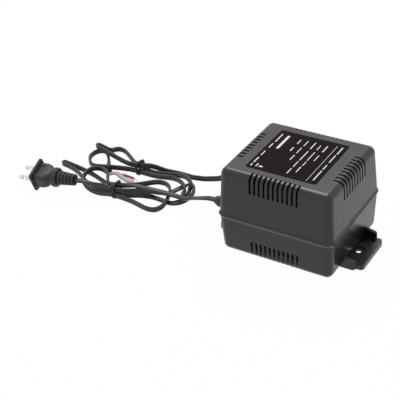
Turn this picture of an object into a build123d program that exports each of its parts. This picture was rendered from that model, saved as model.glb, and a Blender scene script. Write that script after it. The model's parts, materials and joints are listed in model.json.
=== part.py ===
from build123d import *
import math
import os

os.makedirs("parts", exist_ok=True)

# Case, millimetres. X runs along the case towards the ears, Z is up, the floor is at zero.
case_length = 110.0
case_depth = 98.0
case_height = 84.0
parting_height = 38.0
wall = 3.0
floor_thickness = 3.0
cover_draft = 2.7
base_draft = 1.8
corner_round = 6.4
edge_round = 6.2
lip_proud = 1.2
lip_height = 4.0
lip_bury = 0.4
tongue_height = 1.6
tongue_clearance = 0.15

# Vent slots, wrapped round the top edges and the lower front and back edges.
slot_width = 2.0
slot_relief = 0.55
front_slot_count = 11
front_slot_pitch = 4.45
end_slot_count = 9
end_slot_pitch = 5.1
slot_drop = 17.2
slot_reach_front = 9.7
slot_reach_end = 12.4
base_slot_rise = 17.2
base_slot_reach = 14.0

# Label plate, let into the top.
plate_length = 66.6
plate_depth = 67.0
plate_thickness = 0.6
plate_proud = 0.25
plate_corner = 1.8
plate_offset_x = -0.6
plate_offset_y = 0.3

# Mounting ears, one on each end of the base.
ear_reach = 71.6
ear_width = 50.0
ear_root = 12.0
cheek_reach = 65.4
cheek_thickness = 2.8
cheek_height_wall = 11.0
cheek_height_end = 8.8
tongue_width = 43.6
ear_thickness = 4.8
dish_floor = 3.0
dish_edge = 66.6
ear_corner = 3.6
ear_hole_x = 57.8
ear_hole_radius = 2.6
ear_sink_radius = 5.6
ear_sink_depth = 0.9

# Case screws, driven up from below through the base posts.
post_x = 36.0
post_y = 38.5
base_post_radius = 4.5
cover_post_radius = 4.0
screw_radius = 1.5
screw_clearance = 0.2
screw_grip = 12.0
pilot_clearance = 0.05
pilot_spare = 2.0
screw_head_radius = 3.0
screw_head_height = 2.4
head_clearance = 0.3
screw_seat_height = 18.0
drive_radius = 1.1
drive_depth = 1.2

# Laminated core: E and I plates stacked along Y, centre leg upright.
core_width = 86.0
core_stack = 45.0
leg_width = core_width / 3
yoke_width = leg_width / 2
core_top_gap = 2.4
pad_height = 4.0
core_bolt_radius = 2.0
core_hole_radius = 2.25
bolt_head_radius = 3.9
bolt_head_height = 2.8
nut_height = 3.2
bolt_spare = 2.0
washer_radius = 4.6
rod_sides = 12

# Steel angles that hold the core down on the base pads.
angle_sheet = 1.5
angle_height = 13.0
angle_foot = 11.0
pad_x = 30.0
pad_inset = 6.5
pad_radius = 4.5
angle_screw_radius = 1.2
angle_hole_radius = 1.7
angle_head_radius = 2.9
angle_head_height = 1.8
angle_screw_length = 6.0

# Coil: bobbin, two windings one over the other, and the tape round them.
fit_gap = 0.1
bobbin_play = 0.3
bobbin_wall = 1.2
flange_proud = 0.9
winding_gap = 1.1
primary_share = 0.52
tape_build = 0.6
coil_corner = 3.0
fuse_length = 12.0
fuse_depth = 3.2
fuse_height = 4.6
tab_thickness = 0.8
tab_width = 4.0
tab_height = 9.0
tab_near_x = -14.0
tab_far_x = 2.0
tab_edge_inset = 3.5
tab_core_gap = 4.9

# Cord exits on the -X wall, at the parting line.
exit_inset = 18.0
relief_neck_radius = 3.8
relief_flange_radius = 5.4
relief_inner_thickness = 2.0
relief_barrel_length = 7.0
relief_nose_length = 4.4
relief_nose_radius = 3.3
relief_clearance = 0.1
core_wire_radius = 1.0
core_wire_spread = 1.4
wire_rise_gap = 7.0

# Flat twin cord; its tubes here have the same section area as the flat cord.
cord_width = 5.6
cord_thickness = 2.9
cord_radius = 2.1
hank_floor = 0.4
tube_sides = 12
wire_sides = 6
lead_start = 6.0
tail_run = 8.5
tail_offset = 4.2
bundle_top = 13.4
tie_thickness = 1.1
tie_width = 2.6
tie_play = 0.15

# Two-blade plug at the end of the mains lead.
plug_face = (-271.1, -40.4, 13.6)
plug_axis = (-0.990, -0.136, -0.045)
plug_up = (-0.005, -0.280, 0.960)
rim_width = 26.5
rim_height = 22.2
rim_thickness = 3.2
rim_corner = 3.4
rim_bevel = 0.9
body_width = 22.6
body_height = 15.4
body_length = 7.6
body_corner = 3.6
shoulder_at = 14.8
shoulder_width = 20.8
shoulder_height = 15.0
shoulder_corner = 5.0
neck_at = 17.2
neck_width = 16.0
neck_height = 14.0
neck_corner = 6.4
collar_start = 19.4
collar_radius = 9.7
collar_length = 6.2
collar_bevel = 1.5
relief_start_radius = 6.9
relief_end_radius = 5.7
plug_length = 43.7
relief_ribs = 5
rib_depth = 0.9
grip_length = 5.4
grip_width = 12.0
grip_depth = 0.7
blade_spacing = 12.7
blade_width = 6.35
blade_thickness = 1.52
blade_length = 17.0
blade_seat = 6.0
blade_chamfer = 1.4
blade_hole_radius = 1.6
blade_hole_at = 11.7

# Output conductors, bared at their ends.
sleeve_radius = 1.35
bare_radius = 0.7
bare_length = 6.0

# Worked out from the values above.
roof = case_height - wall
core_bottom = floor_thickness + pad_height
core_height = roof - core_top_gap - core_bottom
window_height = core_height - 2 * yoke_width
window_bottom = core_bottom + yoke_width
window_top = window_bottom + window_height
bolt_x = core_width / 2 - yoke_width / 2
bolt_low = core_bottom + yoke_width / 2
bolt_high = core_bottom + core_height - yoke_width / 2
pad_y = core_stack / 2 + pad_inset
wound = yoke_width - winding_gap - bobbin_play - bobbin_wall - tape_build - 3 * fit_gap
primary_build = primary_share * wound
secondary_build = wound - primary_build
flange_edge = core_stack / 2 + yoke_width - winding_gap + flange_proud
tab_near_y = flange_edge - tab_edge_inset
tab_far_y = core_stack / 2 + tab_core_gap
exit_y = case_depth / 2 - exit_inset
relief_wall = case_length / 2 + lip_proud
relief_end = relief_wall + relief_barrel_length + relief_nose_length
relief_inner = case_length / 2 - wall - relief_inner_thickness - relief_clearance


def tangent_radii(points):
    # The largest arc that each corner's two runs leave room for.
    radii = []
    for before, corner, after in zip(points, points[1:], points[2:]):
        run_in = Vector(*corner) - Vector(*before)
        run_out = Vector(*after) - Vector(*corner)
        half_turn = math.radians(run_in.get_angle(run_out)) / 2
        radii.append(0.45 * min(run_in.length, run_out.length) / math.tan(half_turn))
    return radii


def rounded_path(points):
    return FilletPolyline(*points, radius=tangent_radii(points))


def tube(points, radius, sides):
    path = rounded_path(points)
    section = Plane(origin=path @ 0, z_dir=path % 0) * RegularPolygon(radius, sides)
    return sweep(section, path=path)


def stroke(points, width, low, high):
    # A strip of the given width along a plan line, standing from one height to another.
    middle = (low + high) / 2
    line = [(x, y, middle) for x, y in points]
    path = rounded_path(line) if len(line) > 2 else Line(*line)
    section = Plane(origin=path @ 0, x_dir=(0, 0, 1), z_dir=path % 0) * Rectangle(high - low, width)
    return sweep(section, path=path)


def upright(shape, height):
    return Pos(0, 0, height) * shape


def drafted_box(length, depth, height, draft, corner, edge):
    # A box that leans in as it rises, with round upright corners and a round top edge.
    lean = math.degrees(math.atan(draft / height))
    box = extrude(Rectangle(length, depth), amount=height, taper=lean)
    upright_edges = box.edges().filter_by_position(Axis.Z, 0.4 * height, 0.6 * height)
    box = fillet(upright_edges, corner)
    return fillet(box.edges().group_by(Axis.Z)[-1], edge)


def four(x, y):
    return Locations((x, y), (-x, y), (-x, -y), (x, -y))


def row(count, pitch):
    return [(index - (count - 1) / 2) * pitch for index in range(count)]


def slot_cutter(width, deep, tall):
    # A slot that wraps an edge: its ends are relieved on both of the faces that it breaks through.
    face_shape = chamfer(Rectangle(width, tall).vertices(), slot_relief)
    roof_shape = chamfer(Rectangle(width, deep).vertices(), slot_relief)
    from_front = extrude(Plane.XZ * Pos(0, tall / 2) * face_shape, amount=-deep)
    from_above = extrude(Pos(0, deep / 2) * roof_shape, amount=tall)
    return from_front & from_above


def edge_slots(count, pitch, half_size, reach, low, high):
    # Slots across the -Y edge of a box, from inside the edge out past its wall.
    margin = 4 * slot_width
    cutter = slot_cutter(slot_width, reach + margin, high - low + margin)
    return [Pos(x, -half_size - margin, low) * cutter for x in row(count, pitch)]


def lead_notches(radius):
    across = Rot(0, 90, 0) * Cylinder(radius, 2 * wall + 4 * lip_proud)
    spots = [(-case_length / 2, -exit_y, parting_height), (-case_length / 2, exit_y, parting_height)]
    return [Pos(*spot) * across for spot in spots]


def parting_lip(shrink):
    # A low bead round the case at the parting line, sloping back to the wall.
    proud = lip_proud + shrink + lip_bury
    lean = math.degrees(math.atan(proud / lip_height))
    outline = RectangleRounded(
        case_length + 2 * lip_proud, case_depth + 2 * lip_proud, corner_round + lip_proud
    )
    return extrude(outline, amount=lip_height, taper=lean)


def make_top_cover():
    rise = case_height - parting_height
    shell = drafted_box(case_length, case_depth, rise, cover_draft, corner_round, edge_round)
    shell += parting_lip(cover_draft * lip_height / rise)
    hollow = drafted_box(
        case_length - 2 * wall,
        case_depth - 2 * wall,
        rise - wall,
        cover_draft,
        corner_round - wall,
        edge_round - wall,
    )
    shell -= hollow
    for spot in four(post_x, post_y):
        shell += spot * extrude(Circle(cover_post_radius), amount=rise - wall / 2)
        shell -= spot * extrude(Circle(screw_radius + pilot_clearance), amount=screw_grip + pilot_spare)
    rebate = RectangleRounded(
        case_length - wall + 2 * tongue_clearance,
        case_depth - wall + 2 * tongue_clearance,
        corner_round - wall / 2,
    )
    rebate_ring = extrude(rebate, amount=tongue_height + tongue_clearance) - hollow
    for spot in four(post_x, post_y):
        rebate_ring -= spot * extrude(Circle(cover_post_radius), amount=tongue_height + tongue_clearance)
    shell = upright(shell - rebate_ring, parting_height)
    recess = Pos(plate_offset_x, plate_offset_y, case_height) * extrude(
        RectangleRounded(plate_length, plate_depth, plate_corner), amount=plate_proud - plate_thickness
    )
    shell -= recess
    front = edge_slots(
        front_slot_count,
        front_slot_pitch,
        case_depth / 2,
        slot_reach_front,
        case_height - slot_drop,
        case_height,
    )
    end = edge_slots(
        end_slot_count,
        end_slot_pitch,
        case_length / 2,
        slot_reach_end,
        case_height - slot_drop,
        case_height,
    )
    cutters = front + [Rot(0, 0, 180) * cut for cut in front]
    cutters += [Rot(0, 0, 90) * cut for cut in end] + [Rot(0, 0, -90) * cut for cut in end]
    shell -= cutters
    shell -= lead_notches(relief_neck_radius)
    return shell


def make_ear():
    # A tongue with two upright cheeks, a shallow dish between them and a sunk screw hole.
    inside = case_length / 2 - ear_root
    cheek_plan = Pos((inside + cheek_reach) / 2, 0) * RectangleRounded(
        cheek_reach - inside, ear_width, ear_corner
    )
    tongue_plan = Pos((inside + ear_reach) / 2, 0) * RectangleRounded(
        ear_reach - inside, tongue_width, ear_corner
    )
    side = Polyline(
        (inside, 0),
        (cheek_reach, 0),
        (cheek_reach, cheek_height_end),
        (case_length / 2, cheek_height_wall),
        (inside, cheek_height_wall),
        close=True,
    )
    block = extrude(Plane.XZ * make_face(side), amount=ear_width / 2, both=True)
    block &= extrude(cheek_plan, amount=cheek_height_wall)
    trough_length = cheek_reach - inside + 2 * ear_corner
    trough = Pos(inside + trough_length / 2, 0, ear_thickness) * extrude(
        Rectangle(trough_length, ear_width - 2 * cheek_thickness), amount=cheek_height_wall
    )
    ear = block - trough + extrude(tongue_plan, amount=ear_thickness)
    dish_length = dish_edge - inside
    dish = Pos(inside + dish_length / 2, 0, dish_floor) * extrude(
        RectangleRounded(dish_length, tongue_width - 2 * cheek_thickness, ear_corner), amount=ear_thickness
    )
    ear -= dish
    sink_top = dish_floor - ear_sink_depth
    ear -= Pos(ear_hole_x, 0, sink_top) * extrude(Circle(ear_sink_radius), amount=ear_thickness)
    ear -= Pos(ear_hole_x, 0) * extrude(Circle(ear_hole_radius), amount=ear_thickness)
    return ear


def make_bottom_base():
    shell = drafted_box(case_length, case_depth, parting_height, base_draft, corner_round, edge_round)
    shell += parting_lip(base_draft * lip_height / parting_height)
    hollow = drafted_box(
        case_length - 2 * wall,
        case_depth - 2 * wall,
        parting_height - floor_thickness,
        base_draft,
        corner_round - wall,
        edge_round - wall,
    )
    shell = upright(Rot(180, 0, 0) * shell, parting_height)
    hollow = upright(Rot(180, 0, 0) * hollow, parting_height)
    ear = make_ear()
    shell += ear
    shell += Rot(0, 0, 180) * ear
    shell -= hollow
    for spot in four(post_x, post_y):
        shell += spot * Pos(0, 0, floor_thickness / 2) * extrude(
            Circle(base_post_radius), amount=parting_height - floor_thickness / 2
        )
        shell -= spot * extrude(Circle(screw_radius + screw_clearance), amount=parting_height)
        shell -= spot * extrude(Circle(screw_head_radius + head_clearance), amount=screw_seat_height)
    for spot in four(pad_x, pad_y):
        shell += spot * Pos(0, 0, floor_thickness / 2) * extrude(
            Circle(pad_radius), amount=core_bottom - floor_thickness / 2
        )
        screw_tip = core_bottom + angle_sheet - angle_screw_length
        shell -= spot * Pos(0, 0, screw_tip) * extrude(
            Circle(angle_screw_radius + pilot_clearance), amount=core_bottom
        )
    tongue_plan = RectangleRounded(case_length - wall, case_depth - wall, corner_round - wall / 2)
    mouth = hollow.faces().sort_by(Axis.Z)[-1]
    tongue = upright(extrude(tongue_plan, amount=tongue_height), parting_height)
    shell += tongue - extrude(mouth, amount=tongue_height, dir=(0, 0, 1))
    lower = edge_slots(
        front_slot_count,
        front_slot_pitch,
        case_depth / 2,
        base_slot_reach,
        case_height - base_slot_rise,
        case_height,
    )
    lower = [upright(Rot(180, 0, 0) * cut, case_height) for cut in lower]
    shell -= lower + [Rot(0, 0, 180) * cut for cut in lower]
    shell -= lead_notches(relief_neck_radius)
    return shell


def make_rating_plate():
    plate = extrude(RectangleRounded(plate_length, plate_depth, plate_corner), amount=plate_thickness)
    return Pos(plate_offset_x, plate_offset_y, case_height + plate_proud - plate_thickness) * plate


def along_y(shape, y):
    # A shape modelled along +Z is turned to run along +Y from the given place.
    return Pos(0, y, 0) * Rot(-90, 0, 0) * shape


def bolt_spots():
    low = [(side * bolt_x, 0, bolt_low) for side in (-1, 1)]
    high = [(side * bolt_x, 0, bolt_high) for side in (-1, 1)]
    return low + high


def drill(shape, radius):
    for spot in bolt_spots():
        shape -= Pos(*spot) * along_y(Cylinder(radius, 2 * core_stack), 0)
    return shape


def make_laminations():
    e_height = core_height - yoke_width
    e_plan = Pos(0, core_bottom + e_height / 2) * Rectangle(core_width, e_height)
    for side in (-1, 1):
        middle = side * (leg_width / 2 + yoke_width / 2)
        e_plan -= Pos(middle, window_bottom + window_height / 2) * Rectangle(yoke_width, window_height)
    i_plan = Pos(0, window_top + yoke_width / 2) * Rectangle(core_width, yoke_width)
    e_stack = extrude(Plane.XZ * e_plan, amount=core_stack / 2, both=True)
    i_stack = extrude(Plane.XZ * i_plan, amount=core_stack / 2, both=True)
    return drill(e_stack, core_hole_radius), drill(i_stack, core_hole_radius)


def coil_ring(inner_x, inner_y, build, low, high):
    outer = RectangleRounded(2 * (inner_x + build), 2 * (inner_y + build), coil_corner)
    inner = RectangleRounded(2 * inner_x, 2 * inner_y, min(coil_corner, inner_x) / 2)
    return upright(extrude(outer - inner, amount=high - low), low)


def make_coil():
    tube_x = leg_width / 2 + bobbin_play
    tube_y = core_stack / 2 + bobbin_play
    low = window_bottom + bobbin_play
    high = window_top - bobbin_play
    flange_x = leg_width / 2 + yoke_width - bobbin_play
    bore = Rectangle(2 * tube_x, 2 * tube_y)
    flange = RectangleRounded(2 * flange_x, 2 * flange_edge, coil_corner) - bore
    outer_x = tube_x + bobbin_wall
    outer_y = tube_y + bobbin_wall
    sleeve = RectangleRounded(2 * outer_x, 2 * outer_y, coil_corner / 2) - bore
    bobbin = upright(extrude(sleeve, amount=high - low), low)
    bobbin += upright(extrude(flange, amount=bobbin_wall), low)
    bobbin += upright(extrude(flange, amount=bobbin_wall), high - bobbin_wall)
    wound_low = low + bobbin_wall + fit_gap
    wound_high = high - bobbin_wall - fit_gap
    layers = []
    inner_x = outer_x + fit_gap
    inner_y = outer_y + fit_gap
    for build in (primary_build, secondary_build, tape_build):
        layers.append(coil_ring(inner_x, inner_y, build, wound_low, wound_high))
        inner_x += build + fit_gap
        inner_y += build + fit_gap
    wrap_face = inner_y - fit_gap
    fuse = fillet(Box(fuse_length, fuse_depth, fuse_height).edges().filter_by(Axis.Y), fuse_height / 3)
    fuse = Pos(0, -wrap_face - fuse_depth / 2, (low + high) / 2) * fuse
    tabs = []
    for side in (-1, 1):
        for x, y in ((tab_near_x, tab_near_y), (tab_far_x, tab_far_y)):
            tabs.append(Pos(x, side * y, high + tab_height / 2) * Box(tab_thickness, tab_width, tab_height))
    return bobbin, layers, fuse, tabs, high


def make_core_hardware():
    face = core_stack / 2
    profile = Polyline(
        (face, core_bottom),
        (face + angle_foot, core_bottom),
        (face + angle_foot, core_bottom + angle_sheet),
        (face + angle_sheet, core_bottom + angle_sheet),
        (face + angle_sheet, core_bottom + angle_height),
        (face, core_bottom + angle_height),
        close=True,
    )
    angle = extrude(Plane.YZ * make_face(profile), amount=core_width / 2, both=True)
    angle = drill(angle, core_hole_radius)
    for x in (-pad_x, pad_x):
        angle -= Pos(x, pad_y, core_bottom) * extrude(Circle(angle_hole_radius), amount=angle_sheet)
    angles = [angle, Rot(0, 0, 180) * angle]
    seat = face + angle_sheet
    length = 2 * seat + nut_height + bolt_spare
    bolt = extrude(RegularPolygon(bolt_head_radius, 6), amount=-bolt_head_height)
    bolt += extrude(RegularPolygon(core_bolt_radius, rod_sides), amount=length)
    nut_plan = RegularPolygon(bolt_head_radius, 6)
    nut_plan -= RegularPolygon(core_bolt_radius + pilot_clearance, rod_sides, major_radius=False)
    nut = extrude(nut_plan, amount=nut_height)
    washer_plan = RegularPolygon(washer_radius, rod_sides)
    washer_plan -= RegularPolygon(core_hole_radius, rod_sides, major_radius=False)
    washer = extrude(washer_plan, amount=angle_sheet)
    bolts = [Pos(*spot) * along_y(bolt, -seat) for spot in bolt_spots()]
    nuts = [Pos(*spot) * along_y(nut, seat) for spot in bolt_spots()]
    washers = []
    for spot in bolt_spots()[2:]:
        washers += [Pos(*spot) * along_y(washer, place) for place in (face, -seat)]
    screw = extrude(RegularPolygon(angle_head_radius, rod_sides), amount=angle_head_height)
    screw += extrude(RegularPolygon(angle_screw_radius, rod_sides), amount=-angle_screw_length)
    foot_top = core_bottom + angle_sheet
    screws = [spot * Pos(0, 0, foot_top) * screw for spot in four(pad_x, pad_y)]
    return angles, bolts, nuts, washers, screws


def make_case_screws():
    grip_top = parting_height - screw_seat_height + screw_grip
    screw = extrude(Circle(screw_head_radius), amount=-screw_head_height)
    screw += extrude(RegularPolygon(screw_radius, rod_sides), amount=grip_top)
    cross = Box(2 * drive_radius, drive_radius / 2, drive_depth)
    cross += Box(drive_radius / 2, 2 * drive_radius, drive_depth)
    screw -= Pos(0, 0, drive_depth / 2 - screw_head_height) * cross
    return [spot * Pos(0, 0, screw_seat_height) * screw for spot in four(post_x, post_y)]


def make_strain_relief(side):
    # Turned about the cord: inner flange, neck in the wall, outer barrel and a tapered nose.
    flange_lean = cover_draft * relief_flange_radius / (roof - parting_height)
    inner_face = case_length / 2 - wall - flange_lean - relief_clearance
    outer_face = relief_wall + relief_clearance
    barrel_end = relief_wall + relief_barrel_length
    outline = Polyline(
        (relief_inner, 0),
        (relief_inner, relief_flange_radius),
        (inner_face, relief_flange_radius),
        (inner_face, relief_neck_radius),
        (outer_face, relief_neck_radius),
        (outer_face, relief_flange_radius),
        (barrel_end, relief_flange_radius - relief_clearance),
        (relief_end, relief_nose_radius),
        (relief_end, 0),
        close=True,
    )
    turned = revolve(make_face(outline), axis=Axis.X)
    return Pos(0, side * exit_y, parting_height) * Rot(0, 0, 180) * turned


def make_core_wires(side, flange_top):
    wires = []
    level = flange_top + tab_height - 2 * core_wire_radius
    for spread, tab_x, tab_y in ((1, tab_near_x, tab_near_y), (-1, tab_far_x, tab_far_y)):
        start_y = side * (exit_y + spread * core_wire_spread)
        rise_y = side * (core_stack / 2 + wire_rise_gap + spread * core_wire_spread)
        wires.append(
            tube(
                [
                    (-relief_inner, start_y, parting_height),
                    (-relief_inner + 7, start_y, parting_height),
                    (-bolt_x, rise_y, parting_height + 9),
                    (-bolt_x + 3.5, rise_y, flange_top - 3),
                    (-bolt_x + 10, side * tab_y, level),
                    (tab_x - tab_thickness / 2, side * tab_y, level),
                ],
                core_wire_radius,
                wire_sides,
            )
        )
    return wires


def plug_place():
    return Plane(origin=plug_face, x_dir=plug_axis, z_dir=plug_up).location


def make_plug():
    # Built with its blades along +X, then laid where it rests.
    def section(x, width, height, corner):
        return Plane.YZ.offset(x) * RectangleRounded(width, height, corner)

    body = extrude(section(-rim_thickness, rim_width, rim_height, rim_corner), amount=rim_thickness)
    body = chamfer(body.edges().filter_by(Plane.YZ), rim_bevel)
    grip_end = rim_thickness + body_length
    body += extrude(section(-grip_end, body_width, body_height, body_corner), amount=body_length)
    shoulder = [
        section(-grip_end, body_width, body_height, body_corner),
        section(-shoulder_at, shoulder_width, shoulder_height, shoulder_corner),
        section(-neck_at, neck_width, neck_height, neck_corner),
    ]
    body += loft(shoulder, ruled=True)
    neck_end = collar_start + collar_bevel
    body += extrude(section(-neck_end, neck_width, neck_height, neck_corner), amount=neck_end - neck_at)
    grip = Pos(-rim_thickness - body_length / 2, 0, body_height / 2) * Box(
        grip_length, grip_width, 2 * grip_depth
    )
    body -= grip
    body -= Rot(180, 0, 0) * grip
    collar_end = collar_start + collar_length
    rib_pitch = (plug_length - collar_end) / relief_ribs
    shoulder_radius = collar_radius - collar_bevel
    profile = [(-collar_start, 0), (-collar_start, shoulder_radius)]
    profile += [(-collar_start - collar_bevel, collar_radius), (-collar_end + collar_bevel, collar_radius)]
    profile.append((-collar_end, shoulder_radius))
    for rib in range(relief_ribs):
        start = collar_end + rib * rib_pitch
        share = rib / (relief_ribs - 1)
        crest = relief_start_radius + share * (relief_end_radius - relief_start_radius)
        profile += [(-start, crest - rib_depth), (-start - 0.4 * rib_pitch, crest - rib_depth)]
        profile += [(-start - 0.5 * rib_pitch, crest), (-start - rib_pitch, crest)]
    profile.append((-plug_length, 0))
    body += revolve(make_face(Plane.XY * Polyline(*profile, close=True)), axis=Axis.X)
    blade = Pos((blade_length - blade_seat) / 2, 0, 0) * Box(
        blade_length + blade_seat, blade_thickness, blade_width
    )
    tip = blade.edges().filter_by(Axis.Y).group_by(Axis.X)[-1]
    blade = chamfer(tip, blade_chamfer)
    hole = Pos(blade_hole_at, 0, 0) * Rot(90, 0, 0) * Cylinder(blade_hole_radius, 2 * blade_thickness)
    blade -= hole
    blades = [Pos(0, side * blade_spacing / 2, 0) * blade for side in (-1, 1)]
    socket = Pos(-blade_seat / 2, 0, 0) * Box(blade_seat, blade_thickness, blade_width)
    for side in (-1, 1):
        body -= Pos(0, side * blade_spacing / 2, 0) * socket
    place = plug_place()
    return place * body, [place * piece for piece in blades]


# Routes of the cords, chosen by hand.
mains_lead_points = [
    (-relief_end, -exit_y, parting_height),
    (-relief_end - lead_start, -exit_y, parting_height),
    (-84, -29.4, 34),
    (-96.5, -23.2, 26.4),
    (-107.5, -15.4, 17.6),
    (-115.4, -10.6, 12.2),
    (-123, -8.5, 10.7),
    (-131, -8.5, 10.7),
]
output_lead_points = [
    (-relief_end, exit_y, parting_height),
    (-relief_end - lead_start, exit_y, parting_height),
    (-83, 31, 33.4),
    (-92, 31.2, 23),
    (-100, 31.4, 15.6),
    (-109, 31.7, 11.2),
    (-117, 32, 8.4),
    (-121, 32, 7.2),
    (-126, 32, 7.2),
]
plug_heading = Vector(*plug_axis).normalized()
plug_end = Vector(*plug_face) - plug_heading * plug_length
bundle_start = Vector(-199, -20.4, bundle_top - cord_radius - fit_gap)
bundle_heading = Vector(10, 1, 0).normalized()
tail_entry = bundle_start + bundle_heading.rotate(Axis.Z, -90) * tail_offset
mains_tail_points = [
    tuple(plug_end),
    tuple(plug_end - plug_heading * tail_run),
    tuple(tail_entry - bundle_heading * tail_run),
    tuple(tail_entry),
]


def make_mains_hank():
    low = hank_floor
    bundle = stroke([(-199, -20.4), (-189, -19.4), (-172, -16.6)], 13, low + 1.4, bundle_top)
    pieces = [
        stroke([(-197, -20.4), (-214, -22.6), (-231, -19.5)], 12.5, low, 7.6),
        stroke([(-199, -15.4), (-219.5, -7), (-234, -4.6), (-250, -3), (-270, 0.6)], 7.5, low, 6.8),
        stroke([(-196, -11.5), (-212.7, -3.2), (-224.6, 3.4), (-233.6, 5.4)], 5, low + 4, 9.4),
        stroke([(-229, 4.6), (-234, 5.4), (-239.6, 3.2), (-242.4, -2)], 5, low, 9.2),
        stroke([(-241.6, 1), (-242.4, -2.6), (-240, -8.6), (-233, -15)], 5, low, 9),
        stroke([(-174, -21), (-161.7, -26.6), (-148.7, -30.4), (-139.6, -29.6), (-135.6, -22)], 6, low, 7.2),
        stroke([(-136.2, -25), (-135.4, -20), (-137, -10), (-139.6, 0.3), (-144.4, 7.6)], 6, low, 7.4),
        stroke([(-142.6, 5), (-146, 10), (-151, 12.6), (-157.6, 12), (-164.3, 5.8)], 6, low, 7.6),
        stroke([(-162, 8), (-166.5, 3), (-172, -4.4), (-180, -13.5)], 6, low, 8.2),
        stroke([(-175, -17), (-160, -13.6), (-146, -11.6)], 12, low + 0.3, 9),
        stroke([(-131, -8.5), (-141, -8.5), (-152, -11)], 6.4, low + 0.6, 13.2),
    ]
    for piece in pieces:
        bundle += piece
    return bundle


def make_output_hank():
    low = hank_floor
    bundle = stroke([(-208, 24.2), (-196, 23.8), (-184, 25.4)], 11, low + 1.4, 9.4)
    pieces = [
        stroke([(-202, 24), (-223.4, 31.2), (-240, 36.4), (-257, 41)], 8, low, 7.2),
        stroke([(-247, 42), (-239, 46.2), (-231, 46), (-220.7, 42.8), (-208.3, 35), (-200, 27)], 5, low, 7),
        stroke([(-205, 20.6), (-223, 15.2), (-237.7, 11.4), (-245.4, 12.2)], 5, low, 6.8),
        stroke([(-243, 11.6), (-248.4, 14.4), (-252, 20.8), (-253.2, 28.4), (-251, 36.6)], 5, low, 6.6),
        stroke([(-241, 36), (-236.6, 27), (-229.8, 17.6)], 5, low, 6.4),
        stroke([(-230.8, 18), (-226, 9.6), (-221.4, 9.6)], 5, low, 4.8),
        stroke([(-188, 25), (-178, 27.6), (-161.4, 33.2), (-149.4, 36.6)], 8.4, low, 8),
        stroke([(-151, 36.4), (-147, 36.8), (-138.1, 33.8), (-130.4, 27), (-123, 15.6)], 8, low, 7.8),
        stroke([(-124, 17.4), (-119.9, 10), (-118.4, 1.6), (-120.8, -6.6), (-125, -11.4)], 7.6, low, 7.6),
        stroke([(-126, 32), (-134, 32), (-142, 34)], 6.4, low + 0.4, 9.4),
    ]
    for piece in pieces:
        bundle += piece
    return bundle


def make_ties():
    # A flat band round each hank, a little clear of it.
    ties = []
    for spot, heading, wide, low, high in (
        ((-193, -19.8), (10, 1), 13, hank_floor + 1.4, bundle_top),
        ((-194.5, 23.9), (12, 0.9), 11, hank_floor + 1.4, 9.4),
    ):
        place = Plane(origin=(*spot, (low + high) / 2), x_dir=(0, 0, 1), z_dir=(*heading, 0))
        tall = high - low + 2 * tie_play
        across = wide + 4 * tie_play
        inner = Rectangle(tall, across)
        outer = RectangleRounded(tall + 2 * tie_thickness, across + 2 * tie_thickness, tie_thickness)
        ties.append(extrude(place * (outer - inner), amount=tie_width / 2, both=True))
    return ties


red_points = [(-221.4, 11, 2.2), (-214.5, 11, 2.2), (-203, 11.7, 1.9), (-193, 10.4, 2.0)]
grey_points = [(-221.4, 8.2, 2.2), (-214.5, 8.2, 2.2), (-203, 6.2, 1.9), (-193, 2.8, 2.0)]


def make_conductor(points):
    sleeve = tube(points, sleeve_radius, tube_sides)
    tip = Vector(*points[-1])
    heading = (tip - Vector(*points[-2])).normalized()
    place = Plane(origin=tip, z_dir=heading)
    bare = extrude(place * Circle(bare_radius), amount=bare_length)
    return sleeve, bare


def group(pieces):
    return Compound(children=list(pieces))


top_cover = make_top_cover()
bottom_base = make_bottom_base()
e_laminations, i_laminations = make_laminations()
coil_bobbin, layers, thermal_fuse, tabs, flange_top = make_coil()
primary_winding, secondary_winding, winding_wrap = layers
angles, bolts, nuts, washers, angle_screws = make_core_hardware()
plug_body, blades = make_plug()
red_sleeve, red_tip = make_conductor(red_points)
grey_sleeve, grey_tip = make_conductor(grey_points)

nodes = {
    "top_cover": top_cover,
    "bottom_base": bottom_base,
    "rating_plate": make_rating_plate(),
    "case_screws": group(make_case_screws()),
    "e_laminations": e_laminations,
    "i_laminations": i_laminations,
    "coil_bobbin": coil_bobbin,
    "primary_winding": primary_winding,
    "secondary_winding": secondary_winding,
    "winding_wrap": winding_wrap,
    "thermal_fuse": thermal_fuse,
    "terminal_tabs": group(tabs),
    "core_angles": group(angles),
    "core_bolts": group(bolts),
    "core_nuts": group(nuts),
    "core_washers": group(washers),
    "angle_screws": group(angle_screws),
    "mains_strain_relief": make_strain_relief(-1),
    "output_strain_relief": make_strain_relief(1),
    "primary_wires": group(make_core_wires(-1, flange_top)),
    "secondary_wires": group(make_core_wires(1, flange_top)),
    "mains_lead": tube(mains_lead_points, cord_radius, tube_sides),
    "mains_hank": make_mains_hank(),
    "mains_tail": tube(mains_tail_points, cord_radius, tube_sides),
    "plug_body": plug_body,
    "plug_blades": group(blades),
    "output_lead": tube(output_lead_points, cord_radius, tube_sides),
    "output_hank": make_output_hank(),
    "red_conductor": red_sleeve,
    "grey_conductor": grey_sleeve,
    "conductor_tips": group([red_tip, grey_tip]),
    "hank_ties": group(make_ties()),
}
for name, shape in nodes.items():
    export_step(shape, f"parts/{name}.step")

for name, points in (
    ("mains_lead", mains_lead_points),
    ("mains_tail", mains_tail_points),
    ("output_lead", output_lead_points),
    ("red_conductor", red_points),
    ("grey_conductor", grey_points),
):
    radii = ", ".join(f"{radius:.1f}" for radius in tangent_radii(points))
    length = rounded_path(points).length
    print(f"{name}: length {length:.1f}, arc radii {radii}, volume {nodes[name].volume:.1f}")
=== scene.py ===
import json
import math

import bpy
import numpy as np
from mathutils import Matrix, Vector


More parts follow.
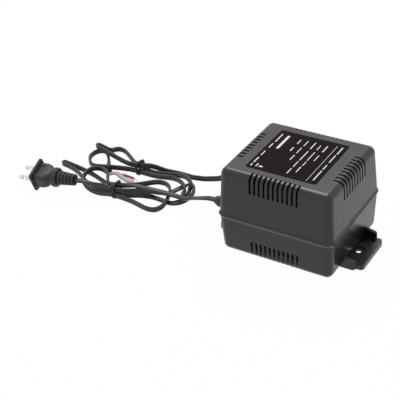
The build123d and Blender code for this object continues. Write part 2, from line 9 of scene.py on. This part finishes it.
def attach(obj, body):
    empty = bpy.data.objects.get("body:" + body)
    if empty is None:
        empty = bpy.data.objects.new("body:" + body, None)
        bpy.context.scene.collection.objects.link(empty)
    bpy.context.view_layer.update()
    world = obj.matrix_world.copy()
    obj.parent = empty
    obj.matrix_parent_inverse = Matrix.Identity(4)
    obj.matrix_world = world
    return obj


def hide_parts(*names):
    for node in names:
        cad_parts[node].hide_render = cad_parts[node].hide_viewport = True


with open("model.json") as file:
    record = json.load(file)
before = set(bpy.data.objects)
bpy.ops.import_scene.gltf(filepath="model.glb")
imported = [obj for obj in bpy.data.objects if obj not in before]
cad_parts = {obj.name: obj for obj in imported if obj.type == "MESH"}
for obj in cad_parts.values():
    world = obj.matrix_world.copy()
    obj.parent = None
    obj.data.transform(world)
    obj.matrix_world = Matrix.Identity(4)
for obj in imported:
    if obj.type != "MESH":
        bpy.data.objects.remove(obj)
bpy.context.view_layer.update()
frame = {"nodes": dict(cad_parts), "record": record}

nodes = frame["nodes"]
mm = 0.001
print("stage: frame loaded")

# camera at the photo's angle, rolled a little about its own axis
view = {
    "azimuth": math.radians(34.382),
    "elevation": math.radians(33.971),
    "roll": math.radians(-4.679),
    "place": (0.3497, -0.6657, 0.5508),
    "sensor": 36,
    "lens": 92.26,
}
back = Vector((
    math.sin(view["azimuth"]) * math.cos(view["elevation"]),
    -math.cos(view["azimuth"]) * math.cos(view["elevation"]),
    math.sin(view["elevation"]),
))
level = Vector((math.cos(view["azimuth"]), math.sin(view["azimuth"]), 0))
upward = back.cross(level)
right = math.cos(view["roll"]) * level + math.sin(view["roll"]) * upward
lift = back.cross(right)
cameraData = bpy.data.cameras.new("camera")
cameraData.sensor_width = view["sensor"]
cameraData.lens = view["lens"]
cameraData.clip_end = 20
camera = bpy.data.objects.new("camera", cameraData)
turn = Matrix((right, lift, back)).transposed().to_4x4()
camera.matrix_world = Matrix.Translation(view["place"]) @ turn
bpy.context.scene.collection.objects.link(camera)
bpy.context.scene.camera = camera
print("stage: camera placed")


def addMesh(name, points, faces, uv):
    # a smooth mesh with its place in its points, and a map that runs along and round it
    mesh = bpy.data.meshes.new(name)
    mesh.from_pydata(points.tolist(), [], faces)
    mesh.polygons.foreach_set("use_smooth", np.ones(len(mesh.polygons), dtype=bool))
    layer = mesh.uv_layers.new(name="along")
    corners = np.zeros(len(mesh.loops), dtype=np.int32)
    mesh.loops.foreach_get("vertex_index", corners)
    layer.data.foreach_set("uv", uv[corners].ravel())
    mesh.update()
    thing = bpy.data.objects.new(name, mesh)
    bpy.context.scene.collection.objects.link(thing)
    return thing


def splinePoints(rows):
    # points along an order 3 spline that has the given rows as its control points
    curve = bpy.data.curves.new("line", "CURVE")
    curve.dimensions = "3D"
    curve.resolution_u = 12
    spline = curve.splines.new("NURBS")
    spline.points.add(len(rows) - 1)
    flat = np.ones((len(rows), 4))
    flat[:, :3] = rows
    spline.points.foreach_set("co", flat.ravel())
    spline.order_u = 3
    spline.use_endpoint_u = True
    holder = bpy.data.objects.new("line", curve)
    mesh = bpy.data.meshes.new_from_object(holder)
    found = np.zeros(3 * len(mesh.vertices))
    mesh.vertices.foreach_get("co", found)
    bpy.data.objects.remove(holder)
    bpy.data.meshes.remove(mesh)
    bpy.data.curves.remove(curve)
    return found.reshape(-1, 3)


def evenSteps(points, roll, step):
    # the same line with its points a fixed distance apart, and the roll carried with it
    run = np.concatenate([[0], np.cumsum(np.linalg.norm(np.diff(points, axis=0), axis=1))])
    keep = np.concatenate([[True], np.diff(run) > 1e-7])  # drop doubled points
    run, points, roll = run[keep], points[keep], roll[keep]
    at = np.linspace(0, run[-1], max(2, int(run[-1] / step) + 1))
    line = np.stack([np.interp(at, run, points[:, i]) for i in range(3)], axis=1)
    return line, np.interp(at, run, roll), at


def sweepProfile(name, line, roll, at, profile):
    # each ring is the profile laid across the line: its first axis is turned from level by the roll
    ahead = np.gradient(line, axis=0)
    ahead /= np.linalg.norm(ahead, axis=1, keepdims=True)
    side = np.cross(ahead, (0, 0, 1))
    side /= np.maximum(np.linalg.norm(side, axis=1, keepdims=True), 1e-9)
    above = np.cross(side, ahead)
    across = np.cos(roll)[:, None] * side + np.sin(roll)[:, None] * above
    through = np.cross(across, ahead)
    points = line[:, None] + profile[:, :1] * across[:, None] + profile[:, 1:] * through[:, None]
    rings, count = points.shape[:2]
    i, j = np.meshgrid(np.arange(rings - 1), np.arange(count), indexing="ij")
    here, beside = i * count + j, i * count + (j + 1) % count
    faces = np.stack([here, here + count, beside + count, beside], axis=-1).reshape(-1, 4).tolist()
    firstRing, lastRing = list(range(count)), list(range((rings - 1) * count, rings * count))
    faces += [firstRing, lastRing[::-1]]
    u, v = np.meshgrid(at, np.arange(count) / count, indexing="ij")
    return addMesh(name, points.reshape(-1, 3), faces, np.stack([u, v], axis=-1).reshape(-1, 2))


def twinProfile(cord):
    # two round lobes side by side, each an arc that stops where the web joins it to the other
    radius = cord["thickness"] / 2
    angle = np.radians(np.linspace(-cord["lobe"], cord["lobe"], 11))
    lobe = np.stack([cord["width"] / 2 - radius + radius * np.cos(angle), radius * np.sin(angle)], axis=1)
    return np.concatenate([lobe, -lobe])


def roundProfile(wide, high, count=14):
    # an ellipse: half its width times the cosine, half its height times the sine
    angle = np.linspace(0, 2 * np.pi, count, endpoint=False)
    return np.stack([wide * np.cos(angle), high * np.sin(angle)], axis=1)


def layCord(name, cord, profile):
    # the profile carried along the spline through the rows, with the rolls smoothed by the same spline
    rows = np.array(cord["rows"], dtype=float)
    rolls = np.zeros((len(rows), 3))
    rolls[:, 0] = np.radians(rows[:, 3])
    line, roll, at = evenSteps(splinePoints(rows[:, :3] * mm), splinePoints(rolls)[:, 0], cord["step"] * mm)
    return sweepProfile(name, line, roll, at, profile * mm), line, at[-1]


# mains cord: x, y, z in millimetres and roll in degrees, 0 lying flat and -90 on edge
mains = {
    "width": 5.6,
    "thickness": 2.8,
    "lobe": 140,  # degrees of arc, each way from the outer side
    "step": 1.1,
    "rows": [
        (-67.6, -31, 38, 0), (-73.6, -31, 38, 0), (-84, -29.4, 34, 0), (-96.5, -23.2, 26.4, 0),
        (-107.5, -15.4, 17.6, 0), (-115.4, -10.6, 12.2, 0), (-123, -8.5, 10.7, 0),
        (-131, -8.5, 10.7, 0), (-141, -9.5, 11.6, 0), (-152, -11.4, 12.4, 0), (-163, -13, 13, 0),
        (-172, -14.8, 13.7, -15), (-179, -17, 13.4, -50), (-185, -19.2, 12.2, -82),
        (-193, -21.6, 10.5, -90),  # through the tie
        (-197, -20.8, 11.9, -90), (-201.5, -17, 13.4, -90), (-205, -11.4, 13.2, -90),
        (-210.5, -4.8, 11.8, -90), (-219.4, 0.4, 10.2, -90), (-228, 1.2, 9.2, -90),
        (-233, -3, 8.9, -90), (-233.6, -10.4, 8.9, -90), (-231.2, -18, 8.9, -90),
        (-227, -24.2, 8.7, -90), (-221.6, -27.6, 6.8, -90), (-214.4, -29, 4.5, -90),
        (-206, -28.8, 3.5, -90), (-199, -27.8, 4.1, -90), (-193, -26.3, 4.6, -90),  # through the tie
        (-185, -25.8, 4.4, -90), (-176, -25.2, 3.4, -90), (-167.1, -25.6, 3, -90),
        (-158.2, -27.6, 3, -90), (-147.4, -30, 3, -90), (-139.2, -28.4, 3, -90),
        (-135, -22.9, 4.2, -90), (-134.6, -16.4, 5.6, -90), (-136.8, -8.2, 6, -90),
        (-140.2, 0.6, 6, -90), (-145.4, 7.7, 6, -90), (-152, 11.4, 6, -90), (-159.8, 11, 6.1, -90),
        (-165, 6.6, 6.5, -90), (-169.4, 0.7, 7.2, -90), (-174.6, -5.8, 8.2, -90),
        (-180.2, -11.6, 9.4, -90), (-186.4, -15.8, 10.3, -90), (-193, -18.2, 10.4, -90),  # through the tie
        (-197.5, -17.2, 8.9, -90), (-202, -15, 5.9, -90), (-207, -12.4, 4.4, -90),
        (-214.6, -9, 3.5, -90), (-227.6, -4.2, 3.1, -90), (-239.2, -1.3, 3, -90),
        (-249.8, 0.6, 3, -90), (-262, 2.2, 3, -90), (-268, 3, 3, -90), (-271.6, 3.3, 3, -90),
        (-273.2, 1.6, 3, -90), (-271.4, -0.1, 3, -90), (-267, -0.6, 3, -90), (-258.9, -2.2, 3, -90),
        (-249.1, -5.4, 3, -90), (-241.4, -9.8, 3, -90), (-234.2, -14.6, 3, -90),
        (-225.3, -18.6, 3, -90), (-214.6, -21.4, 3.1, -90), (-205, -22.6, 3.7, -90),
        (-199, -22.6, 4.3, -90), (-193, -22.3, 4.6, -90),  # through the tie
        (-184, -21.2, 3.8, -90), (-174.8, -17.8, 3, -90), (-165, -12.4, 3, -80),
        (-158, -9.8, 2.1, -20), (-150, -9, 1.6, 0), (-141, -9.8, 1.5, 0), (-132.4, -10.6, 1.6, 0),
        (-126.2, -7, 2.5, -40), (-122, -0.8, 2.9, -85), (-120.8, 6, 3, -90), (-121.6, 13, 3, -90),
        (-125.4, 20.4, 3, -90), (-130.6, 25, 2.9, -80), (-134.8, 23.6, 2.4, -40),
        (-137.6, 19.4, 1.6, 0), (-140.4, 13, 1.5, 0), (-142.6, 6.4, 1.6, 0), (-145.2, 0, 1.9, -10),
        (-149.6, -2.6, 3.8, -60), (-154, -6, 6.4, -85), (-159, -10, 8.2, -90),
        (-165, -14, 8.9, -90), (-171, -17.4, 8.9, -90), (-177, -20.4, 9, -90),
        (-183, -22.8, 9.4, -90), (-188, -24.2, 10, -90), (-193, -25.2, 10.4, -90),  # through the tie
        (-198.58, -24.58, 11.2, -80), (-207.04, -25.43, 11.2, -50), (-219.44, -33.3, 15.95, 0),
        (-227.85, -34.46, 15.57, 14),
    ],
}
mainsCord, mainsLine, mainsLength = layCord("mainsCord", mains, twinProfile(mains))
print("stage: mains cord", round(mainsLength, 4))

# output cord, the same flat twin section
output = {
    "width": 5.6,
    "thickness": 2.8,
    "lobe": 140,
    "step": 1.1,
    "rows": [
        (-67.6, 31, 38, -90), (-73.6, 31, 38, -90), (-83, 31, 33.4, -90), (-92, 31.2, 22.6, -90),
        (-100, 31.4, 15, -90), (-109, 31.7, 11.8, -90), (-117, 32, 9.3, -90), (-121, 32, 8.2, -90),
        (-126, 32, 7.4, -90), (-135.1, 32.8, 5.4, -90), (-143.6, 35.4, 3.8, -90),
        (-152.1, 36.2, 3.1, -90), (-160, 35.2, 3.2, -90), (-168, 32.8, 4.4, -90),
        (-175, 30.4, 7.4, -90), (-181, 27, 9.8, -90), (-186, 23.8, 10.4, -90),
        (-191, 21.7, 10.4, -90),  # through the tie
        (-197, 20.8, 10.2, -90), (-205.1, 21.4, 9.5, -90), (-219.4, 25.6, 8.9, -90),
        (-232.4, 29.6, 8.9, -90), (-244.3, 33, 8.9, -90), (-250, 34.6, 8.9, -90),
        (-253.6, 35.4, 8.9, -90), (-255, 37.1, 8.9, -90), (-253.4, 38.7, 8.9, -90),
        (-249.6, 38.1, 8.9, -90), (-242.2, 36.4, 8.9, -90), (-236.6, 35.4, 8.7, -90),
        (-235.2, 38.6, 7, -90), (-236.6, 44.4, 4.8, -90), (-234.6, 48.6, 3.3, -90),
        (-229.4, 48.8, 3, -90), (-222, 45, 3, -90), (-210.2, 36.8, 3.2, -90),
        (-198.7, 29.3, 4.1, -90), (-191, 26, 4.6, -90),  # through the tie
        (-183, 25.6, 4.2, -90), (-174.5, 26.3, 3.2, -90), (-165.3, 28.8, 3, -90),
        (-157.3, 31.7, 3, -90), (-149.5, 32.2, 4, -90), (-140.5, 28.8, 7.2, -90),
        (-131.9, 22.8, 9.2, -90), (-126.2, 17.8, 9, -90), (-126.6, 15.4, 5.8, -90),
        (-126.8, 13, 3.6, -90), (-125.6, 9, 3, -90), (-125.2, 5.4, 3, -90), (-127.6, 3.8, 3, -90),
        (-130, 5.6, 3, -90), (-130.2, 9.4, 3.4, -90), (-131, 12.4, 4.6, -90),
        (-132.9, 14.9, 6, -90), (-138.6, 19.4, 6, -90), (-146.9, 24.1, 4.6, -90),
        (-154.7, 25.8, 3.4, -90), (-162.2, 24, 3.2, -90), (-171.3, 21.4, 3.4, -90),
        (-181, 20.2, 4.2, -90), (-191, 19.8, 4.6, -90),  # through the tie
        (-199, 18.9, 5.2, -90), (-208.2, 15.2, 6.3, -90), (-218.7, 11.8, 6.4, -90),
        (-230.4, 9.5, 5.2, -90), (-239.6, 9.1, 3.6, -90), (-247.6, 13.7, 3, -90),
        (-254.1, 22.1, 3, -90), (-255.3, 29.7, 3, -90), (-252.9, 36.1, 3, -90),
        (-248.3, 39, 3, -90), (-242.6, 37, 3, -90), (-237, 31.5, 3, -90), (-231.9, 24.8, 2.9, -80),
        (-227.4, 18.6, 2.5, -40), (-223.6, 13.4, 1.65, -8), (-220.4, 9.8, 1.6, 0),
        (-216.4, 7.4, 1.6, 0),
    ],
}
outputCord, outputLine, outputLength = layCord("outputCord", output, twinProfile(output))
print("stage: output cord", round(outputLength, 4))

# the output cord's two conductors, one red and one in a pale flattened sleeve, and their bare tips
conductors = {
    "redWire": {"half": (1.35, 1.35), "step": 0.8, "rows": [
        (-217, 8.8, 1.5, 0), (-212.5, 10.2, 1.45, 0), (-207, 10.9, 1.45, 0), (-200, 11.2, 1.8, 0),
        (-190, 9.5, 2.2, 0),
    ]},
    "greyWire": {"half": (2.8, 1.3), "step": 0.8, "rows": [
        (-217, 6.2, 1.8, 0), (-213.5, 7.4, 3.4, 0), (-208, 7.6, 4.3, 0), (-201.5, 5.4, 3, 0),
        (-194.5, 4.2, 1.7, 0), (-187.4, 3.8, 1.7, 0),
    ]},
    "redTip": {"half": (0.75, 0.75), "step": 0.5, "rows": [
        (-190.6, 9.7, 2.2, 0), (-188.4, 9.1, 2.2, 0), (-185, 8.2, 2.2, 0),
    ]},
    "greyTip": {"half": (0.75, 0.75), "step": 0.5, "rows": [
        (-188, 3.8, 1.7, 0), (-185.6, 3.5, 1.7, 0), (-182.4, 2.8, 1.7, 0),
    ]},
}
redWire, greyWire, redTip, greyTip = (
    layCord(name, wire, roundProfile(*wire["half"]))[0] for name, wire in conductors.items()
)
print("stage: conductors")


def tieRows(tie):
    # turns of a rounded square round the bundle, stepping along it and starting at its top
    angle = np.linspace(0, 2 * np.pi * tie["turns"], 40 * tie["turns"] + 1) + np.pi / 2
    power = tie["squareness"]
    square = 1 / (np.abs(np.cos(angle)) ** power + np.abs(np.sin(angle)) ** power) ** (1 / power)
    heading = np.array((*tie["heading"], 0.0))
    heading /= np.linalg.norm(heading)
    across = np.array((-heading[1], heading[0], 0))
    along = (angle - angle.mean()) / (2 * np.pi) * tie["pitch"]
    line = np.array(tie["centre"]) + along[:, None] * heading
    line = line + (tie["half"][0] * square * np.cos(angle))[:, None] * across
    return line + (tie["half"][1] * square * np.sin(angle))[:, None] * np.array((0, 0, 1))


def twistRows(tie, phase):
    # one of the two ends: a helix round a short line that leans away from the bundle's top
    share = np.linspace(0, 1, 40)[:, None]
    start = np.array(tie["centre"]) + (0, 0, tie["half"][1])
    lean = np.array(tie["tail"])
    axis = lean / np.linalg.norm(lean)
    first = np.cross(axis, (1, 0.2, 0))
    first /= np.linalg.norm(first)
    second = np.cross(axis, first)
    angle = 2 * np.pi * tie["twists"] * share + phase
    return start + share * lean + tie["spread"] * (np.cos(angle) * first + np.sin(angle) * second)


def makeTie(name, tie):
    # the turns and the two twisted ends, each a round wire
    pieces = []
    for index, rows in enumerate((tieRows(tie), twistRows(tie, 0), twistRows(tie, np.pi))):
        line, roll, at = evenSteps(rows * mm, np.zeros(len(rows)), tie["step"] * mm)
        wire = roundProfile(tie["wire"], tie["wire"], 10)
        pieces.append(sweepProfile(f"{name}{index}", line, roll, at, wire * mm))
    return pieces


tieWire = {
    "turns": 2, "pitch": 1.9, "wire": 0.75, "step": 0.6,
    "squareness": 5, "twists": 2.5, "spread": 0.7875,
}
mainsTie = {
    **tieWire, "centre": (-188.6, -21.2, 7.8), "heading": (10, 1),
    "half": (6.5, 7), "tail": (3, 3.6, 1.8),
}
outputTie = {
    **tieWire, "centre": (-190.6, 22.8, 7.5), "heading": (10, -0.6),
    "half": (5.3, 6.6), "tail": (3.2, 2.4, 1.2),
}
mainsTies = makeTie("mainsTie", mainsTie)
outputTies = makeTie("outputTie", outputTie)
print("stage: ties")


def newGroup(name, inputs, outputs):
    # an empty shader group with named sockets, and its two end nodes
    group = bpy.data.node_groups.new(name, "ShaderNodeTree")
    for side, sockets in (("INPUT", inputs), ("OUTPUT", outputs)):
        for title, kind in sockets.items():
            group.interface.new_socket(title, in_out=side, socket_type=kind)
    return group, group.nodes.new("NodeGroupInput"), group.nodes.new("NodeGroupOutput")


def addNode(tree, kind, operation=None):
    node = tree.nodes.new(kind)
    if operation:
        node.operation = operation
    return node


def joinUp(tree, pairs):
    for giver, taker in pairs:
        tree.links.new(giver, taker)


# grain: a fine bump, and a broad mottle for colour and sheen
grainLook = {"fineDetail": 3, "broadSize": 45, "broadDetail": 2, "height": 0.0002}
grainGroup, enter, leave = newGroup(
    "grain",
    {"Place": "NodeSocketVector", "Size": "NodeSocketFloat", "Depth": "NodeSocketFloat"},
    {"Normal": "NodeSocketVector", "Mottle": "NodeSocketFloat"},
)
fine = addNode(grainGroup, "ShaderNodeTexNoise")
fine.inputs["Detail"].default_value = grainLook["fineDetail"]
broad = addNode(grainGroup, "ShaderNodeTexNoise")
broad.inputs["Scale"].default_value = grainLook["broadSize"]
broad.inputs["Detail"].default_value = grainLook["broadDetail"]
bump = addNode(grainGroup, "ShaderNodeBump")
bump.inputs["Distance"].default_value = grainLook["height"]
joinUp(grainGroup, (
    (enter.outputs["Place"], fine.inputs["Vector"]),
    (enter.outputs["Size"], fine.inputs["Scale"]),
    (enter.outputs["Place"], broad.inputs["Vector"]),
    (fine.outputs["Fac"], bump.inputs["Height"]),
    (enter.outputs["Depth"], bump.inputs["Strength"]),
    (bump.outputs["Normal"], leave.inputs["Normal"]),
    (broad.outputs["Fac"], leave.inputs["Mottle"]),
))

# bar: 1 inside a rectangle seen from above, where both distances from its centre are under its half sizes
barGroup, enter, leave = newGroup(
    "bar",
    {"Place": "NodeSocketVector", "Centre": "NodeSocketVector", "Half": "NodeSocketVector"},
    {"Mask": "NodeSocketFloat"},
)
offset = addNode(barGroup, "ShaderNodeVectorMath", "SUBTRACT")
size = addNode(barGroup, "ShaderNodeVectorMath", "ABSOLUTE")
spare = addNode(barGroup, "ShaderNodeVectorMath", "SUBTRACT")
split = addNode(barGroup, "ShaderNodeSeparateXYZ")
nearest = addNode(barGroup, "ShaderNodeMath", "MINIMUM")
inside = addNode(barGroup, "ShaderNodeMath", "GREATER_THAN")
inside.inputs[1].default_value = 0
joinUp(barGroup, (
    (enter.outputs["Place"], offset.inputs[0]),
    (enter.outputs["Centre"], offset.inputs[1]),
    (offset.outputs[0], size.inputs[0]),
    (enter.outputs["Half"], spare.inputs[0]),
    (size.outputs[0], spare.inputs[1]),
    (spare.outputs[0], split.inputs[0]),
    (split.outputs["X"], nearest.inputs[0]),
    (split.outputs["Y"], nearest.inputs[1]),
    (nearest.outputs[0], inside.inputs[0]),
    (inside.outputs[0], leave.inputs["Mask"]),
))


def newMaterial(name, look):
    # grain and a slight mottle over one base colour
    material = bpy.data.materials.new(name)
    material.use_nodes = True
    tree = material.node_tree
    shader = tree.nodes["Principled BSDF"]
    place = addNode(tree, "ShaderNodeTexCoord")
    grain = addNode(tree, "ShaderNodeGroup")
    grain.node_tree = grainGroup
    grain.inputs["Size"].default_value = look["size"]
    grain.inputs["Depth"].default_value = look["depth"]
    tint = addNode(tree, "ShaderNodeMix")
    tint.data_type = "RGBA"
    colour = np.array(look["colour"])
    tint.inputs["A"].default_value = (*(colour * (1 - look["mottle"])), 1)
    tint.inputs["B"].default_value = (*(colour * (1 + look["mottle"])), 1)
    sheen = addNode(tree, "ShaderNodeMapRange")
    sheen.inputs["To Min"].default_value = look["rough"] - 0.04
    sheen.inputs["To Max"].default_value = look["rough"] + 0.04
    joinUp(tree, (
        (place.outputs["Object"], grain.inputs["Place"]),
        (grain.outputs["Mottle"], tint.inputs["Factor"]),
        (grain.outputs["Mottle"], sheen.inputs["Value"]),
        (tint.outputs["Result"], shader.inputs["Base Color"]),
        (sheen.outputs["Result"], shader.inputs["Roughness"]),
        (grain.outputs["Normal"], shader.inputs["Normal"]),
    ))
    shader.inputs["Metallic"].default_value = look.get("metal", 0)
    shader.inputs["Specular IOR Level"].default_value = look.get("specular", 0.5)
    return material


# base colour, roughness, size and depth of the grain, share of mottle
looks = {
    "case_plastic": dict(colour=(0.009, 0.0092, 0.0094), rough=0.28, size=900, depth=0.12, mottle=0.05),
    "plate_black": dict(
        colour=(0.0132, 0.0102, 0.0092), rough=0.6, size=1200, depth=0.05, mottle=0.05, specular=0.02,
    ),
    "zinc_steel": dict(colour=(0.6, 0.61, 0.62), rough=0.35, size=700, depth=0.15, mottle=0.08, metal=1),
    "core_steel": dict(colour=(0.3, 0.31, 0.33), rough=0.45, size=500, depth=0.2, mottle=0.1, metal=1),
    "bobbin_nylon": dict(colour=(0.75, 0.72, 0.64), rough=0.5, size=600, depth=0.1, mottle=0.04),
    "enamelled_copper": dict(colour=(0.6, 0.26, 0.12), rough=0.35, size=800, depth=0.4, mottle=0.12, metal=1),
    "coil_tape": dict(colour=(0.7, 0.55, 0.12), rough=0.3, size=400, depth=0.1, mottle=0.06),
    "fuse_shell": dict(colour=(0.8, 0.79, 0.74), rough=0.4, size=500, depth=0.05, mottle=0.03),
    "tinned_brass": dict(colour=(0.7, 0.66, 0.52), rough=0.35, size=600, depth=0.1, mottle=0.08, metal=1),
    "cord_rubber": dict(colour=(0.018, 0.0178, 0.0176), rough=0.46, size=1000, depth=0.14, mottle=0.08),
    "cord_vinyl": dict(colour=(0.016, 0.0158, 0.0158), rough=0.4, size=1100, depth=0.12, mottle=0.1),
    "wire_black": dict(colour=(0.02, 0.02, 0.02), rough=0.4, size=900, depth=0.1, mottle=0.06),
    "wire_red": dict(colour=(0.42, 0.03, 0.035), rough=0.42, size=900, depth=0.08, mottle=0.1),
    "wire_grey": dict(colour=(0.42, 0.4, 0.39), rough=0.5, size=900, depth=0.08, mottle=0.1),
    "blade_metal": dict(colour=(0.72, 0.7, 0.66), rough=0.25, size=900, depth=0.08, mottle=0.06, metal=1),
    "tinned_copper": dict(colour=(0.7, 0.62, 0.52), rough=0.35, size=1500, depth=0.5, mottle=0.12, metal=1),
    "tie_plastic": dict(colour=(0.015, 0.015, 0.015), rough=0.4, size=900, depth=0.1, mottle=0.06),
}
materials = {name: newMaterial(name, look) for name, look in looks.items()}

# plain bars for the plate: centre x, from y, to y, half width, in millimetres
plateInk = {
    "colour": (0.76, 0.74, 0.72, 1),
    "bars": [
        (-30.3, -30, -26.5, 0.59), (-30.3, -24.5, -15.5, 0.67), (-30.2, -12, -4, 0.52),
        (-30, 2, 10, 0.59), (-29.6, 13, 27.5, 0.59), (-22.9, 4, 27, 1.26),
        (-25.6, -29.5, -24.5, 0.59), (-21.6, -29, -27, 1.78), (-10.7, 5, 11.5, 0.59),
        (-10.5, 18, 25.5, 0.52), (-4.1, -7.8, 0.6, 0.52), (-4, 4, 14, 0.44), (-3.7, 17, 26.5, 0.44),
        (3.4, -28, -19.5, 0.52), (3.5, -17, -7, 0.44), (3.7, -5, 11, 0.52), (3.6, 15, 26.5, 0.52),
        (9.5, -23, -14, 0.52), (9.9, -12, -5, 0.44), (9.7, -3, 12, 0.44), (9.5, 16, 24, 0.44),
        (15.2, -1, 9, 0.44), (15.4, 15, 25.5, 0.59), (23, -31.5, 29.6, 0.2), (28, -28, -12, 0.59),
        (28, -10, -2, 0.52), (27.9, 2, 15, 0.52), (28.2, 17, 29, 0.59),
    ],
}
tree = materials["plate_black"].node_tree
shader = tree.nodes["Principled BSDF"]
place = tree.nodes["Texture Coordinate"]
inked = None
for x, low, high, half in plateInk["bars"]:
    bar = addNode(tree, "ShaderNodeGroup")
    bar.node_tree = barGroup
    bar.inputs["Centre"].default_value = (x * mm, (low + high) / 2 * mm, 0)
    bar.inputs["Half"].default_value = (half * mm, (high - low) / 2 * mm, 1)
    tree.links.new(place.outputs["Object"], bar.inputs["Place"])
    if inked is None:
        inked = bar.outputs["Mask"]
        continue
    either = addNode(tree, "ShaderNodeMath", "MAXIMUM")
    joinUp(tree, ((inked, either.inputs[0]), (bar.outputs["Mask"], either.inputs[1])))
    inked = either.outputs[0]
ink = addNode(tree, "ShaderNodeMix")
ink.data_type = "RGBA"
ink.inputs["B"].default_value = plateInk["colour"]
joinUp(tree, (
    (inked, ink.inputs["Factor"]),
    (shader.inputs["Base Color"].links[0].from_socket, ink.inputs["A"]),
    (ink.outputs["Result"], shader.inputs["Base Color"]),
))
print("stage: materials")


def dress(thing, slot):
    thing.data.materials.clear()
    thing.data.materials.append(materials[slot])


for entry in frame["record"]["subparts"]:
    dress(nodes[entry["node"]], entry["material_slot"])

pieces = {
    "cord_vinyl": [mainsCord, outputCord],
    "wire_red": [redWire],
    "wire_grey": [greyWire],
    "tinned_copper": [redTip, greyTip],
    "tie_plastic": [*mainsTies, *outputTies],
}
for slot, things in pieces.items():
    for thing in things:
        dress(thing, slot)
        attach(thing, "root")
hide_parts("mains_lead", "mains_hank", "mains_tail")
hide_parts("output_lead", "output_hank")
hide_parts("red_conductor")
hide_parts("grey_conductor")
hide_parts("conductor_tips")
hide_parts("hank_ties")
print("stage: pieces dressed")


def plainRays(tree):
    # 1 for what the camera sees, by itself or in metal and glass, and 0 for the light that falls on things
    path = addNode(tree, "ShaderNodeLightPath")
    seen = path.outputs["Is Camera Ray"]
    for ray in ("Is Glossy Ray", "Is Transmission Ray"):
        either = addNode(tree, "ShaderNodeMath", "MAXIMUM")
        joinUp(tree, ((seen, either.inputs[0]), (path.outputs[ray], either.inputs[1])))
        seen = either.outputs[0]
    return seen


# floor: pale, and plain white to the camera apart from a trace of shadow
floorLook = {"reach": 4, "colour": (0.9, 0.9, 0.9, 1), "plain": 0.97}
reach = floorLook["reach"]
floorMesh = bpy.data.meshes.new("floor")
floorCorners = [(-reach, -reach, 0), (reach, -reach, 0), (reach, reach, 0), (-reach, reach, 0)]
floorMesh.from_pydata(floorCorners, [], [(0, 1, 2, 3)])
floor = bpy.data.objects.new("floor", floorMesh)
bpy.context.scene.collection.objects.link(floor)
floorMaterial = bpy.data.materials.new("floor")
floorMaterial.use_nodes = True
tree = floorMaterial.node_tree
shader = tree.nodes["Principled BSDF"]
shader.inputs["Base Color"].default_value = floorLook["colour"]
shader.inputs["Roughness"].default_value = 1
shader.inputs["Specular IOR Level"].default_value = 0
glow = addNode(tree, "ShaderNodeEmission")
glow.inputs["Strength"].default_value = 1
share = addNode(tree, "ShaderNodeMath", "MULTIPLY")
share.inputs[1].default_value = floorLook["plain"]
mixed = addNode(tree, "ShaderNodeMixShader")
joinUp(tree, (
    (plainRays(tree), share.inputs[0]),
    (share.outputs[0], mixed.inputs["Fac"]),
    (shader.outputs["BSDF"], mixed.inputs[1]),
    (glow.outputs["Emission"], mixed.inputs[2]),
    (mixed.outputs["Shader"], tree.nodes["Material Output"].inputs["Surface"]),
))
floorMesh.materials.append(floorMaterial)

# an even white room
room = {"colour": (1, 1, 1, 1), "light": 0.55}
world = bpy.data.worlds.new("room")
bpy.context.scene.world = world
world.use_nodes = True
tree = world.node_tree
sky = tree.nodes["Background"]
sky.inputs["Color"].default_value = room["colour"]
sky.inputs["Strength"].default_value = room["light"]
plain = addNode(tree, "ShaderNodeBackground")
plain.inputs["Color"].default_value = room["colour"]
mixed = addNode(tree, "ShaderNodeMixShader")
joinUp(tree, (
    (plainRays(tree), mixed.inputs["Fac"]),
    (sky.outputs["Background"], mixed.inputs[1]),
    (plain.outputs["Background"], mixed.inputs[2]),
    (mixed.outputs["Shader"], tree.nodes["World Output"].inputs["Surface"]),
))

# one soft light, high at the back left
highLight = {"place": (-0.6, 0.9, 1.9), "aim": (0, 0, 0.04), "size": 1.3, "power": 27.5}
lampData = bpy.data.lights.new("highLight", "AREA")
lampData.size = highLight["size"]
lampData.energy = highLight["power"]
lamp = bpy.data.objects.new("highLight", lampData)
lamp.location = highLight["place"]
aim = Vector(highLight["aim"]) - Vector(highLight["place"])
lamp.rotation_euler = aim.to_track_quat("-Z", "Y").to_euler()
bpy.context.scene.collection.objects.link(lamp)
bpy.context.scene.view_settings.view_transform = "Standard"
print("stage: studio")
